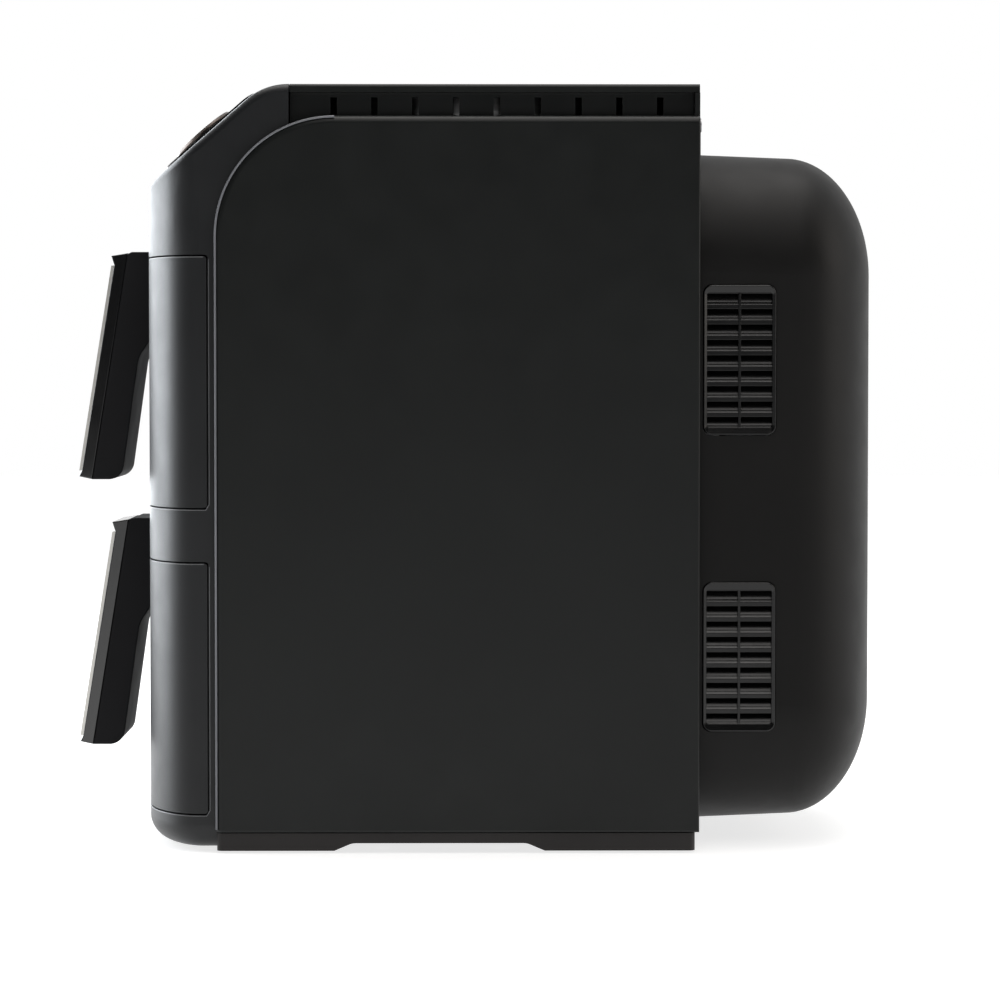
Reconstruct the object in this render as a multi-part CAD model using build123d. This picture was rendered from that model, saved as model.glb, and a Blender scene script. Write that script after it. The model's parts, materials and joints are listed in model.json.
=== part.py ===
from build123d import *
from math import cos, radians, sin, tan
import os

# Stacked two-drawer air fryer, in millimetres. The origin is on the table, under the middle of the
# whole appliance. The drawers face -Y, the motor housing +Y, and +Z is up.

# Driving dimensions
HEIGHT = 385.0
CORE_HALF = 116.5            # half width of the front and the drawers
PANEL_HALF = 121.0           # half width over the side panels
FRONT_Y = -165.0             # face of the drawers
CABINET_REAR_Y = 114.0
REAR_Y = 205.0               # back of the motor housing
WALL = 3.0
GAP = 0.8                    # seam round a drawer front

# Front form
SLOPE = radians(41)          # slope of the control panel
SLOPE_FOOT_Z = 335.5         # where the upright front turns into the slope
SLOPE_CROWN = 5.0            # fall of the slope from the middle to the side
TOP_CROWN = 1.8              # fall of the top from the middle to the side
ARC_END_Y = -91.0            # where the rounded top meets the flat top
TOP_SEAM_Y = -90.5           # joint between the front and the top cover
SEAM_Y = -131.5              # rear edge of a drawer front on the side
BULKHEAD_Y = -127.0          # upright wall behind the drawer fronts
LINER_FRONT_Y = -124.0
SHOULDER_Z = 300.0           # above this the front runs back to the top cover
CORNER_X, CORNER_Y = 60.0, 30.0   # semi-axes of the rounded front corners
CORE_BOTTOM_Z = 2.0
TOP_EDGE_R, BOTTOM_EDGE_R = 4.0, 12.0

# Drawers, given for the lower one
PITCH = 153.0                # from the lower drawer to the upper one
DRAWER_Z = (19.5, 144.7)
HANDLE_PITCH = 139.0
HANDLE_TOP_Z = 163.7
HANDLE_HALF = 29.0
LIFTS = {"lower": 0.0, "upper": PITCH}
HANDLE_LIFTS = {"lower": 0.0, "upper": HANDLE_PITCH}

# Cooking cavity, given for the lower one
LINER_HALF = 108.5
LINER_Z = (15.0, 147.0)
LINER_REAR_Y = 111.5
SHEET = 0.9
PAN_HALF = 97.0
PAN_Y = (-128.0, 88.0)
PAN_Z = (25.0, 131.0)
PAN_WALL = 1.2
RIM = 4.5                    # width of the pan's rim
PLATE_RISE = 6.0             # crisper plate above the pan's floor
DECK_RISE = 62.0             # rack's deck above the pan's floor
WIRE_R = 1.6
FAN_Z = 81.0
FAN_HOLE_R = 58.0
HEATER_R = (46.0, 53.5)
HEATER_TUBE_R = 3.2
HEATER_Y = 106.0
PROBE_X, PROBE_Z = 54.0, 136.0
SHAFT_R = 4.0
FAN_WHEEL_Y = (103.0, 115.2)
MOTOR_R = 29.0

# Screws of the base and the back
SCREW_R, SCREW_HOLE_R = 1.6, 1.8
SCREW_HEAD_R, SCREW_HEAD = 3.4, 1.8

# Outer covers
PANEL_Z = (10.5, 367.4)
PANEL_FRONT_Y = -127.6
PANEL_CORNER_R = 60.0
VENT_FACE_X = 108.2          # slotted wall beside the top
COVER_UNDER_Z = 379.2
HOUSING_HALF = 112.0
HOUSING_Z = (9.9, 351.8)
HOUSING_CORNER = (60.0, 43.0, 61.0)   # semi-axes along X, Y and Z
HOUSING_DRAFT = 1.5
HOUSING_WALL = 2.6
GRILLE_Y = (116.0, 152.5)
GRILLE_Z = (60.0, 135.0)
GRILLE_X = (104.6, 111.2)
GRILLE_PITCH = 148.7
EXHAUST_HALF = 34.0
GLAND = (-111.0, 134.0, 171.5)   # middle of the cord inlet
BASE_Y = (-127.0, 112.0)
BASE_HALF = 119.0
BASE_Z = (1.2, 5.0, 10.0)    # feet, belly and top edge
FOOT_ENDS_Y = (-68.3, 36.9)

# Controls, placed along the slope from its foot
DIAL_U = 37.5
DIAL_R = 19.0
DIAL_HEIGHT = 8.3
DIAL_BOTTOM = 2.3            # clear of the bezel when the dial is pressed
KEY_X = (44.0, 74.0)
KEY_SIZE = (20.0, 11.0)
BOARD_H = -8.0

SLOPE_PLANE = Plane(origin=(0, FRONT_Y, SLOPE_FOOT_Z), x_dir=(1, 0, 0), z_dir=(0, -sin(SLOPE), cos(SLOPE)))


def box(x0, x1, y0, y1, z0, z1):
    """Box between two corners."""
    return Pos((x0 + x1) / 2, (y0 + y1) / 2, (z0 + z1) / 2) * Box(x1 - x0, y1 - y0, z1 - z0)


def slab(half_x, y0, y1, z0, z1):
    """Box centred on the middle plane."""
    return box(-half_x, half_x, y0, y1, z0, z1)


def rounded(part, axis, radius):
    """Part with its edges along one axis rounded."""
    return fillet(part.edges().filter_by(axis), radius)


def barrel(x, z, radius, y0, y1):
    """Cylinder along Y."""
    return Pos(x, (y0 + y1) / 2, z) * Rot(90, 0, 0) * Cylinder(radius, y1 - y0)


def rod(start, end, radius):
    """Straight round bar between two points."""
    path = Vector(*end) - Vector(*start)
    return Solid.make_cylinder(radius, path.length, Plane(origin=start, z_dir=path))


def side_prism(face, x0, x1):
    """Outline drawn with Y across and Z up, extruded from x0 to x1."""
    return extrude(Plane(origin=(x0, 0, 0), x_dir=(0, 1, 0), z_dir=(1, 0, 0)) * face, amount=x1 - x0)


def rounded_outline(points, radii):
    """Closed outline whose corners named in radii (index: radius) are rounded."""
    face = make_face(Polyline(*points, close=True))
    for index, radius in radii.items():
        x, y = points[index]
        corner = face.vertices().sort_by_distance((x, y, 0))[0]
        face = fillet(corner, radius)
    return face


def slope_prism(x0, x1, u0, u1, radius, h0=-12.0, h1=12.0):
    """Rounded rectangle on the slope, u from the slope's foot and h out of its surface."""
    sketch = Pos((x0 + x1) / 2, (u0 + u1) / 2) * RectangleRounded(x1 - x0, u1 - u0, radius)
    return extrude(SLOPE_PLANE.offset(h0) * sketch, amount=h1 - h0)


def slope_disc(x, u, radius, h0, h1):
    """Cylinder standing on the slope."""
    return extrude(SLOPE_PLANE.offset(h0) * (Pos(x, u) * Circle(radius)), amount=h1 - h0)


# ---------------------------------------------------------------- front form

def form_section(x, inset, rear):
    """Side outline of the front at one station across the width."""
    crown = (x / CORE_HALF) ** 2
    drop = (inset + SLOPE_CROWN * crown) / cos(SLOPE)
    front = FRONT_Y + inset
    bottom = CORE_BOTTOM_Z + inset
    top = HEIGHT - inset - TOP_CROWN * crown
    foot = (front, SLOPE_FOOT_Z + inset * tan(SLOPE) - drop)
    head_y = FRONT_Y + (top - SLOPE_FOOT_Z + drop) / tan(SLOPE)
    reach = ARC_END_Y - head_y
    arc_start = (head_y - reach * cos(SLOPE), top - reach * sin(SLOPE))
    arc_end = (ARC_END_Y, top)
    edges = [
        Line((front, bottom), foot),
        Line(foot, arc_start),
        TangentArc(arc_start, arc_end, tangent=(cos(SLOPE), sin(SLOPE))),
        Line(arc_end, (rear, top)),
        Line((rear, top), (rear, bottom)),
        Line((rear, bottom), (front, bottom)),
    ]
    return Plane(origin=(x, 0, 0), x_dir=(0, 1, 0), z_dir=(1, 0, 0)) * make_face(edges)


def crowned_form(inset, rear=CABINET_REAR_Y + 10):
    """Slope and top as one gently crowned body, wider than the appliance."""
    station = CORE_HALF + 1.5
    return loft([form_section(x, inset, rear) for x in (-station, -station / 2, 0, station / 2, station)])


def plan_outline(inset):
    """Plan of the front, with its quarter-ellipse corners."""
    half = CORE_HALF - inset
    front = FRONT_Y + inset
    a, b = CORNER_X - inset, CORNER_Y - inset
    flat = half - a
    return make_face([
        Line((-half, TOP_SEAM_Y), (half, TOP_SEAM_Y)),
        Line((half, TOP_SEAM_Y), (half, front + b)),
        EllipticalCenterArc((flat, front + b), a, b, start_angle=270, arc_size=90),
        Line((flat, front), (-flat, front)),
        EllipticalCenterArc((-flat, front + b), a, b, start_angle=180, arc_size=90),
        Line((-half, front + b), (-half, TOP_SEAM_Y)),
    ])


def rim_edges(part, low):
    """Edges round the front's bottom, or round its slope and top."""
    edges = []
    for edge in part.edges():
        span = edge.bounding_box()
        across = span.size.X > 2 * CORE_HALF - 10
        if across or span.size.Z > HEIGHT / 2 or span.min.Y > TOP_SEAM_Y - 0.6:
            continue
        if (low and span.max.Z < CORE_BOTTOM_Z + WALL + 1) or (not low and span.min.Z > SHOULDER_Z):
            edges.append(edge)
    return edges


def front_form(inset=0.0):
    """Outer form of the front, moved inwards by inset."""
    body = crowned_form(inset, TOP_SEAM_Y + 30) & extrude(plan_outline(inset), amount=HEIGHT + 20)
    if inset < 1:
        body = fillet(rim_edges(body, False), TOP_EDGE_R - inset)
    return fillet(rim_edges(body, True), BOTTOM_EDGE_R - inset)


def front_fascia(outer, inner, middle):
    """Front frame round both drawers, with the sloping control panel on top."""
    shell = outer - inner
    shell -= slab(150, LINER_FRONT_Y, 0, 0, SHOULDER_Z)
    plate = 2.5
    frame = slab(CORE_HALF, BULKHEAD_Y, LINER_FRONT_Y, CORE_BOTTOM_Z, SHOULDER_Z)
    for lift in LIFTS.values():
        z0, z1 = DRAWER_Z[0] + lift - GAP, DRAWER_Z[1] + lift + GAP
        aperture = slab(150, FRONT_Y - 20, SEAM_Y + GAP, z0, z1)
        shell -= rounded(aperture, Axis.X, 2.0)
        frame += slab(CORE_HALF, FRONT_Y, BULKHEAD_Y, z0 - plate, z0)
        frame += slab(CORE_HALF, FRONT_Y, BULKHEAD_Y, z1, z1 + plate)
        frame -= rounded(slab(PAN_HALF + RIM + 2, BULKHEAD_Y - 1, LINER_FRONT_Y + 1, z0 + 0.5, z1 - 2.0), Axis.Y, 4.0)
    fascia = shell + (frame & middle)
    return fascia - slope_prism(-97, 97, 15.5, 70.0, 6.0)


def control_bezel(skin, ground, under):
    """Gloss frame of the control panel, with its dial well, key holes and window seat."""
    bezel = (skin & slope_prism(-98, 98, 14.0, 71.5, 9.0)) - ground
    bezel += (ground - under) & slope_prism(-96.6, 96.6, 15.9, 69.6, 6.0)
    for x in (-59, 59):
        for u in (26, 50):
            bezel += slope_disc(x, u, 2.0, BOARD_H, -3.0)
    bezel -= slope_disc(0, DIAL_U, DIAL_R + 0.6, -0.8, 12)
    bezel -= slope_disc(0, DIAL_U, 3.4, -12, 12)
    for x in key_places():
        bezel -= key_prism(x, 0.4)
    bezel -= slope_prism(-54.4, 54.4, 58.8, 68.4, 2.4) - crowned_form(1.0)
    return bezel - slope_prism(-51, 51, 60.6, 66.6, 1.5)


def key_places():
    return [side * x for x in KEY_X for side in (-1, 1)]


def key_prism(x, margin):
    """Prism of one key, larger than the key by margin all round."""
    half_x, half_u = KEY_SIZE[0] / 2 + margin, KEY_SIZE[1] / 2 + margin
    return slope_prism(x - half_x, x + half_x, DIAL_U - half_u, DIAL_U + half_u, 2.0)


def control_key(x):
    """Key cap with the flange that keeps it under the bezel."""
    cap = (crowned_form(-1.8) - crowned_form(2.6)) & key_prism(x, 0.0)
    return cap + ((crowned_form(2.6) - crowned_form(3.4)) & key_prism(x, 1.5))


def display_window():
    return (crowned_form(-2.8) - crowned_form(1.0)) & slope_prism(-54, 54, 59.2, 68.0, 2.0)


def display_board():
    """Circuit board under the control panel, with its display, encoder and key switches."""
    board = slope_prism(-88, 88, 22, 68, 3.0, BOARD_H - 1.6, BOARD_H)
    board += slope_prism(-46, 46, 60.8, 66.4, 1.0, BOARD_H, -3.4)
    board += slope_prism(-6, 6, DIAL_U - 6, DIAL_U + 6, 1.0, BOARD_H, BOARD_H + 0.5)
    for x in key_places():
        crown = SLOPE_CROWN * (x / CORE_HALF) ** 2
        board += slope_prism(x - 3, x + 3, DIAL_U - 3, DIAL_U + 3, 0.5, BOARD_H, -4.6 - crown)
    return board


def dial_knob():
    """Hollow knob that turns on the dial shaft."""
    bore, hub, skirt = SHAFT_R - 0.95, 6.0, DIAL_R - 2
    ceiling, floor = DIAL_HEIGHT - 2.5, DIAL_HEIGHT - 3.5
    outline = make_face(Polyline(
        (bore, DIAL_BOTTOM), (hub, DIAL_BOTTOM), (hub, ceiling), (skirt, ceiling), (skirt, DIAL_BOTTOM),
        (DIAL_R, DIAL_BOTTOM), (DIAL_R, DIAL_HEIGHT - 1.8), (DIAL_R - 1.4, DIAL_HEIGHT),
        (DIAL_R - 3, DIAL_HEIGHT), (0, DIAL_HEIGHT - 0.6), (0, floor), (bore, floor), close=True))
    knob = revolve(Plane.XZ * outline, Axis.Z)
    return SLOPE_PLANE * Pos(0, DIAL_U, 0) * knob


def dial_shaft():
    return slope_disc(0, DIAL_U, SHAFT_R - 1, -6.0, 4.7) + slope_disc(0, DIAL_U, 5.0, -4.2, -2.9)


# ---------------------------------------------------------------- outer covers

def panel_outline(inset, flange=0.0):
    """Side panel seen from the side."""
    y0, y1 = PANEL_FRONT_Y + inset, CABINET_REAR_Y - inset
    z0, z1 = PANEL_Z[0] + inset, PANEL_Z[1] - inset
    points = [(y0, z0), (y1 + flange, z0), (y1 + flange, z1), (y0, z1)]
    return rounded_outline(points, {3: PANEL_CORNER_R - inset})


def side_panel():
    """Right side panel: a shallow shell with a flange under the top vent."""
    inner_x = CORE_HALF + 0.1
    shell = side_prism(panel_outline(0), inner_x, PANEL_HALF)
    outer = shell.edges().filter_by(lambda e: e.bounding_box().min.X > PANEL_HALF - 0.01)
    hard = outer.filter_by(lambda e: e.center().Y > CABINET_REAR_Y - 1 or e.center().Z < PANEL_Z[0] + 1)
    soft = outer.filter_by(lambda e: e not in hard)
    shell = fillet(soft, 4.0)
    outer = shell.edges().filter_by(lambda e: e.bounding_box().min.X > PANEL_HALF - 0.01)
    hard = outer.filter_by(lambda e: e.center().Y > CABINET_REAR_Y - 1 or e.center().Z < PANEL_Z[0] + 1)
    shell = fillet(hard, 1.2)
    shell -= side_prism(panel_outline(7.0), inner_x, PANEL_HALF - 2.2)
    flange = side_prism(panel_outline(0), VENT_FACE_X + 0.3, inner_x)
    flange -= side_prism(panel_outline(2.5, flange=10), VENT_FACE_X, inner_x)
    return shell + (flange & box(0, PANEL_HALF, TOP_SEAM_Y + 0.3, LINER_REAR_Y - 0.3, SHOULDER_Z, HEIGHT))


def top_cover():
    """Top plate with a slotted vent wall along each side."""
    front = TOP_SEAM_Y + 0.4
    plate = crowned_form(0) & slab(114, front, CABINET_REAR_Y, COVER_UNDER_Z, HEIGHT + 5)
    edges = plate.edges().filter_by(lambda e: e.bounding_box().min.Z > COVER_UNDER_Z + 1 and
                                    e.bounding_box().size.Y > 100)
    cover = fillet(edges, 1.8)
    first, pitch, half_width = -68.4, 20.36, 1.6
    for side in (-1, 1):
        x0, x1 = sorted((side * (VENT_FACE_X - 2.2), side * VENT_FACE_X))
        cover += box(x0, x1, front, LINER_REAR_Y - 0.3, 362, COVER_UNDER_Z)
        for index in range(9):
            y = first + index * pitch
            cover -= box(x0 - 1, x1 + 1, y - half_width, y + half_width, 366, 377)
    return cover


def base_outline(inset):
    """Side outline of the base tray, drawn in by inset below its top edge."""
    (y0, y1), (foot, belly, top) = BASE_Y, BASE_Z
    step = 9.0
    front_end, rear_end = FOOT_ENDS_Y
    points = [
        (y0 + inset, top + inset), (y0 + inset, foot + inset),
        (front_end - inset, foot + inset), (front_end + step - inset, belly + inset),
        (rear_end - step + inset, belly + inset), (rear_end + inset, foot + inset),
        (y1 - inset, foot + inset), (y1 - inset, top + inset),
    ]
    return rounded_outline(points, {3: 9.0, 4: 9.0})


def base_pan():
    """Base tray with two full-width feet and cooling slots in its belly."""
    tray = side_prism(base_outline(0), -BASE_HALF, BASE_HALF)
    tray = fillet(tray.edges().filter_by(Axis.Z), 3.0)
    tray -= side_prism(base_outline(2.0), -BASE_HALF + 2, BASE_HALF - 2)
    tray -= slab(CORE_HALF + 0.2, BASE_Y[0] - 1, LINER_FRONT_Y + 0.2, 0, BASE_Z[2] + 1)
    for x in range(-75, 76, 15):
        tray -= box(x - 3, x + 3, -50, 18, 0, 9)
    for x, y in base_screw_places():
        tray -= Pos(x, y, BASE_Z[1]) * Cylinder(SCREW_HOLE_R, 10)
    return tray


def base_screw_places():
    return [(x, y) for x in (-100, 100) for y in (-45, 15)]


def rubber_feet():
    feet = []
    for x in (-92, 92):
        for y in (-98, 75):
            pad = box(x - 16, x + 16, y - 8, y + 8, 0, BASE_Z[0])
            feet.append(rounded(pad, Axis.Z, 7.0))
    return Compound(children=feet)


def rear_screw_places():
    return [(x, 364.0) for x in (-96, -32, 32, 96)]


def rear_plate():
    """Steel back of the cabinet, with a round opening for each fan chamber."""
    plate = slab(CORE_HALF - 0.5, LINER_REAR_Y, CABINET_REAR_Y, BASE_Z[2] + 0.5, COVER_UNDER_Z - 0.3)
    for lift in LIFTS.values():
        plate -= barrel(0, FAN_Z + lift, FAN_HOLE_R, LINER_REAR_Y - 1, CABINET_REAR_Y + 1)
    for x, z in rear_screw_places():
        plate -= barrel(x, z, SCREW_HOLE_R, LINER_REAR_Y - 1, CABINET_REAR_Y + 1)
    return plate


def case_screws():
    """Identical pan-head screws in the base and in the back."""
    screws = []
    for x, y in base_screw_places():
        head = Pos(x, y, BASE_Z[1] - SCREW_HEAD / 2) * Cylinder(SCREW_HEAD_R, SCREW_HEAD)
        screws.append(head + Pos(x, y, BASE_Z[1] + 3.5) * Cylinder(SCREW_R, 7.0))
    for x, z in rear_screw_places():
        screws.append(barrel(x, z, SCREW_HEAD_R, CABINET_REAR_Y, CABINET_REAR_Y + SCREW_HEAD)
                      + barrel(x, z, SCREW_R, CABINET_REAR_Y - 7, CABINET_REAR_Y))
    return Compound(children=screws)


def housing_form(inset):
    """Drafted box with quarter-ellipsoid rear corners."""
    rx, ry, rz = HOUSING_CORNER
    stretch_x, stretch_z = rx / ry, rz / ry
    half_x = (HOUSING_HALF - inset) / stretch_x
    half_z = ((HOUSING_Z[1] - HOUSING_Z[0]) / 2 - inset) / stretch_z
    depth = REAR_Y - CABINET_REAR_Y - inset
    block = extrude(Rectangle(2 * half_x, 2 * half_z), amount=depth, taper=HOUSING_DRAFT)
    rims = block.edges().filter_by(lambda e: e.center().Z > 1)
    block = fillet(rims, ry - inset)
    block = scale(block, by=(stretch_x, stretch_z, 1))
    place = Plane(origin=(0, CABINET_REAR_Y, sum(HOUSING_Z) / 2), x_dir=(-1, 0, 0), z_dir=(0, 1, 0))
    return place * block


def grille_places():
    return [(side, lift) for side in (-1, 1) for lift in (0.0, GRILLE_PITCH)]


def grille_block(side, lift, margin, x0, x1):
    """Rounded block at one side vent, larger than the vent by margin all round."""
    low, high = sorted((side * x0, side * x1))
    block = box(low, high, GRILLE_Y[0] - margin, GRILLE_Y[1] + margin,
                GRILLE_Z[0] + lift - margin, GRILLE_Z[1] + lift + margin)
    return rounded(block, Axis.X, 4.5 + margin)


def rear_housing():
    """Motor housing on the back, with side vents and two sets of exhaust slots."""
    housing = housing_form(0) - housing_form(HOUSING_WALL)
    for side, lift in grille_places():
        housing -= grille_block(side, lift, 0.3, HOUSING_HALF - 12, HOUSING_HALF + 8)
    for lift in LIFTS.values():
        for row in range(-4, 5):
            z = FAN_Z + lift + 9 * row
            slot = slab(EXHAUST_HALF, REAR_Y - 10, REAR_Y + 5, z - 2, z + 2)
            housing -= rounded(slot, Axis.Y, 1.9)
    gx, gy, gz = GLAND
    return housing - Pos(gx, gy, gz) * Rot(0, 90, 0) * Cylinder(8.3, 12)


def cord_gland():
    """Moulded inlet for the mains cord, with its inner nut."""
    gx, gy, gz = GLAND
    axis = Rot(0, 90, 0)
    gland = Pos(gx, gy, gz) * axis * Cylinder(8.0, 12)
    gland += Pos(gx - 3.4, gy, gz) * axis * Cylinder(11.0, 3.2)
    gland += Pos(gx + 5.4, gy, gz) * axis * Cylinder(11.0, 3.2)
    return gland - Pos(gx, gy, gz) * axis * Cylinder(3.7, 30)


def vent_grilles(side):
    """Two slotted grilles of one side of the housing."""
    grilles = []
    back, face = GRILLE_X
    x0, x1 = sorted((side * (back - 1), side * (face + 1)))
    mid_y = sum(GRILLE_Y) / 2
    for lift in (0.0, GRILLE_PITCH):
        plate = grille_block(side, lift, 0.0, back, face)
        plate += grille_block(side, lift, 1.8, back, back + 1.5)
        for row in range(9):
            z = GRILLE_Z[0] + lift + 6.7 + 7.7 * row
            for y in (mid_y - 8.6, mid_y + 8.6):
                slot = box(x0, x1, y - 8, y + 8, z - 2.3, z + 2.3)
                plate -= rounded(slot, Axis.X, 0.8)
        grilles.append(plate)
    return Compound(children=grilles)


# ---------------------------------------------------------------- cooking cavities, lower one

def cavity_liner():
    """Steel box that the pan slides into."""
    z0, z1 = LINER_Z
    outer = rounded(slab(LINER_HALF, LINER_FRONT_Y, LINER_REAR_Y, z0, z1), Axis.Y, 8.0)
    inner = slab(LINER_HALF - SHEET, LINER_FRONT_Y - 1, LINER_REAR_Y - SHEET, z0 + SHEET, z1 - SHEET)
    liner = outer - rounded(inner, Axis.Y, 7.1)
    return liner - barrel(0, FAN_Z, FAN_HOLE_R, LINER_REAR_Y - 5, LINER_REAR_Y + 5)


def drawer_rails():
    """Ledges under the pans' rims, one on each side of each cavity."""
    rails = []
    top = PAN_Z[1] - PAN_WALL - 0.3
    wall_x = LINER_HALF - SHEET
    for lift in LIFTS.values():
        for side in (-1, 1):
            x0, x1 = sorted((side * (PAN_HALF + 1.5), side * wall_x))
            leg0, leg1 = sorted((side * (wall_x - 1.2), side * wall_x))
            rail = box(x0, x1, LINER_FRONT_Y + 2, 95, top - 1.5 + lift, top + lift)
            rails.append(rail + box(leg0, leg1, LINER_FRONT_Y + 2, 95, top - 14 + lift, top - 1.5 + lift))
    return Compound(children=rails)


def fan_baffle():
    """Slotted screen between the pan and the fan."""
    z0, z1 = LINER_Z[0] + 4, LINER_Z[1] - 4
    plate = slab(LINER_HALF - 4, 100.0, 101.2, z0, z1)
    for index in range(24):
        slot = Rot(0, 15 * index, 0) * box(18, 41, 99, 102, -1.6, 1.6)
        plate -= Pos(0, 0, FAN_Z) * slot
    for row in range(-4, 5):
        z = FAN_Z + 11 * row
        for x0 in (-91, 61):
            plate -= box(x0, x0 + 30, 99, 102, z - 2, z + 2)
    return plate - barrel(PROBE_X, PROBE_Z, 3.2, 99, 102)


def heater_coil():
    """Two-turn tube heater round the fan, with its terminals."""
    inner, outer = HEATER_R
    coil = Rot(90, 0, 0) * (Torus(inner, HEATER_TUBE_R) + Torus(outer, HEATER_TUBE_R))
    coil += box(-2, 2, -2, 2, -outer, -inner)
    for angle in (78, 102):
        x, z = outer * cos(radians(angle)), outer * sin(radians(angle))
        coil += box(x - 2, x + 2, 0, 19, z - 2, z + 2)
    return Pos(0, HEATER_Y, FAN_Z) * coil


def fan_chamber():
    """Cup behind the cabinet's back that the motor stands on."""
    y0, y1, wall = CABINET_REAR_Y, CABINET_REAR_Y + 14, 1.2
    radius = FAN_HOLE_R + 2.5
    cup = barrel(0, FAN_Z, radius, y0, y1) + barrel(0, FAN_Z, radius + 3, y0, y0 + wall)
    cup -= barrel(0, FAN_Z, radius - wall, y0 - 1, y1 - wall)
    return cup - barrel(0, FAN_Z, 6, y0, y1 + 1)


def fan_motor():
    """Shaded motor body on four posts, with a bearing boss at each end."""
    y0 = CABINET_REAR_Y + 14
    motor = barrel(0, FAN_Z, MOTOR_R, y0 + 8, y0 + 38)
    for x in (-19, 19):
        for z in (-19, 19):
            motor += barrel(x, FAN_Z + z, 3, y0, y0 + 9)
    motor += barrel(0, FAN_Z, 11, y0 + 4, y0 + 42)
    return motor - barrel(0, FAN_Z, SHAFT_R + 0.5, y0, y0 + 50)


def impeller():
    """Hot-air fan wheel: hub, back plate and twelve radial blades."""
    y0, y1 = FAN_WHEEL_Y
    wheel = barrel(0, 0, 8, y0, y1) + barrel(0, 0, 38, y1 - 1.2, y1)
    for index in range(12):
        wheel += Rot(0, 30 * index, 0) * box(6, 39.5, y0 + 0.5, y1 - 0.6, -0.7, 0.7)
    wheel -= barrel(0, 0, SHAFT_R, 100, 120)
    return Pos(0, 0, FAN_Z) * wheel


def fan_shaft():
    return barrel(0, FAN_Z, SHAFT_R, FAN_WHEEL_Y[0] - 0.5, 186)


def cooling_fan():
    """Motor cooling fan: hub and seven pitched blades."""
    fan = barrel(0, 0, 8, 174, 184)
    for index in range(7):
        blade = Pos(22.5, 179, 0) * Rot(35, 0, 0) * Box(31, 1.4, 13)
        fan += Rot(0, 360 / 7 * index, 0) * blade
    fan -= barrel(0, 0, SHAFT_R, 170, 190)
    return Pos(0, 0, FAN_Z) * fan


def temperature_probes():
    return Compound(children=[barrel(PROBE_X, PROBE_Z + lift, 2.5, 95, LINER_REAR_Y - SHEET)
                              for lift in LIFTS.values()])


def drawer_switches():
    """Switches that tell the controls that each drawer is shut."""
    switches = []
    for lift in LIFTS.values():
        case = box(LINER_HALF + 0.6, CORE_HALF - WALL - 0.4, LINER_FRONT_Y, -106, 90 + lift, 104 + lift)
        switches.append(case)
    return Compound(children=switches)


def cavity_insulation():
    """Mineral wool slabs above each cavity."""
    z = LINER_Z[1]
    between = slab(LINER_HALF - 0.5, -123, 110.5, z + 0.5, z + PITCH - (LINER_Z[1] - LINER_Z[0]) - 0.5)
    above = slab(LINER_HALF - 6.5, -88, 110.5, z + PITCH + 0.3, z + PITCH + 16)
    return Compound(children=[between, above])


def power_board():
    """Power circuit board over the upper cavity, on four posts."""
    z = LINER_Z[1] + PITCH + 16
    board = slab(82, -62, 82, z + 5, z + 6.6)
    for x in (-74, 74):
        for y in (-54, 74):
            board += Pos(x, y, z + 2.8) * Cylinder(3.0, 5.0)
    board += box(-70, -30, -40, -8, z + 6.6, z + 36)
    board += box(-66, -42, 12, 40, z + 6.6, z + 24)
    board += box(10, 62, 40, 46, z + 6.6, z + 34)
    for x in (-8, 12, 32):
        board += Pos(x, -30, z + 18.5) * Cylinder(7.5, 24)
    for y in (0, 20):
        board += box(24, 44, y - 7, y + 7, z + 6.6, z + 22)
    return board


# ---------------------------------------------------------------- drawers, lower one

def drawer_front(outer, inner):
    """Drawer front: a shell with the front's own curve, closed above and below."""
    z0, z1 = DRAWER_Z
    flange = 2.5
    keep = rounded(slab(150, FRONT_Y - 10, SEAM_Y, z0, z1), Axis.X, 1.5)
    hollow = slab(150, FRONT_Y - 10, SEAM_Y + 1, z0 + flange, z1 - flange)
    return (outer & keep) - (inner & hollow)


def drawer_back_panel():
    """Plate that closes the drawer front's back and carries the pan, with four posts."""
    z0, z1 = DRAWER_Z
    panel = slab(CORE_HALF - WALL - 0.9, SEAM_Y, PAN_Y[0], z0 + 1, z1 - 1)
    for x in (-42, 42):
        for z in (z0 + 25, z1 - 25):
            panel += barrel(x, z, 4, FRONT_Y + WALL, SEAM_Y + 1)
    return panel


def drawer_pan():
    """Non-stick pan with a rolled rim and air slots in its rear wall."""
    (y0, y1), (z0, z1) = PAN_Y, PAN_Z
    outer = rounded(slab(PAN_HALF, y0, y1, z0, z1), Axis.Z, 20)
    outer = fillet(outer.faces().sort_by(Axis.Z)[0].edges(), 10)
    inner = rounded(slab(PAN_HALF - PAN_WALL, y0 + PAN_WALL, y1 - PAN_WALL, z0 + PAN_WALL, z1 + 20), Axis.Z,
                    20 - PAN_WALL)
    inner = fillet(inner.faces().sort_by(Axis.Z)[0].edges(), 10 - PAN_WALL)
    rim = rounded(slab(PAN_HALF + RIM, y0, y1 + RIM, z1 - PAN_WALL, z1), Axis.Z, 24)
    pan = outer + rim - inner
    for index in range(9):
        x = 16 * (index - 4)
        pan -= box(x - 3, x + 3, y1 - 4, y1 + 3, z0 + 18, z0 + 46)
    return pan


def crisper_plate():
    """Perforated plate over the pan's floor."""
    z = PAN_Z[0] + PAN_WALL + PLATE_RISE
    mid_y = sum(PAN_Y) / 2
    plate = rounded(slab(91, mid_y - 101, mid_y + 101, z, z + 2), Axis.Z, 15)
    holes = [Pos(27 * (column - 2.5), mid_y + 26 * row, z + 1) * Cylinder(4, 6)
             for column in range(6) for row in range(-3, 4)]
    return plate - holes


def plate_feet():
    """Silicone feet under the crisper plate."""
    z0 = PAN_Z[0] + PAN_WALL
    mid_y = sum(PAN_Y) / 2
    return Compound(children=[Pos(x, mid_y + y, z0 + (PLATE_RISE + 0.3) / 2) * Cylinder(4, PLATE_RISE - 0.3)
                              for x in (-78, 78) for y in (-88, 88)])


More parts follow.
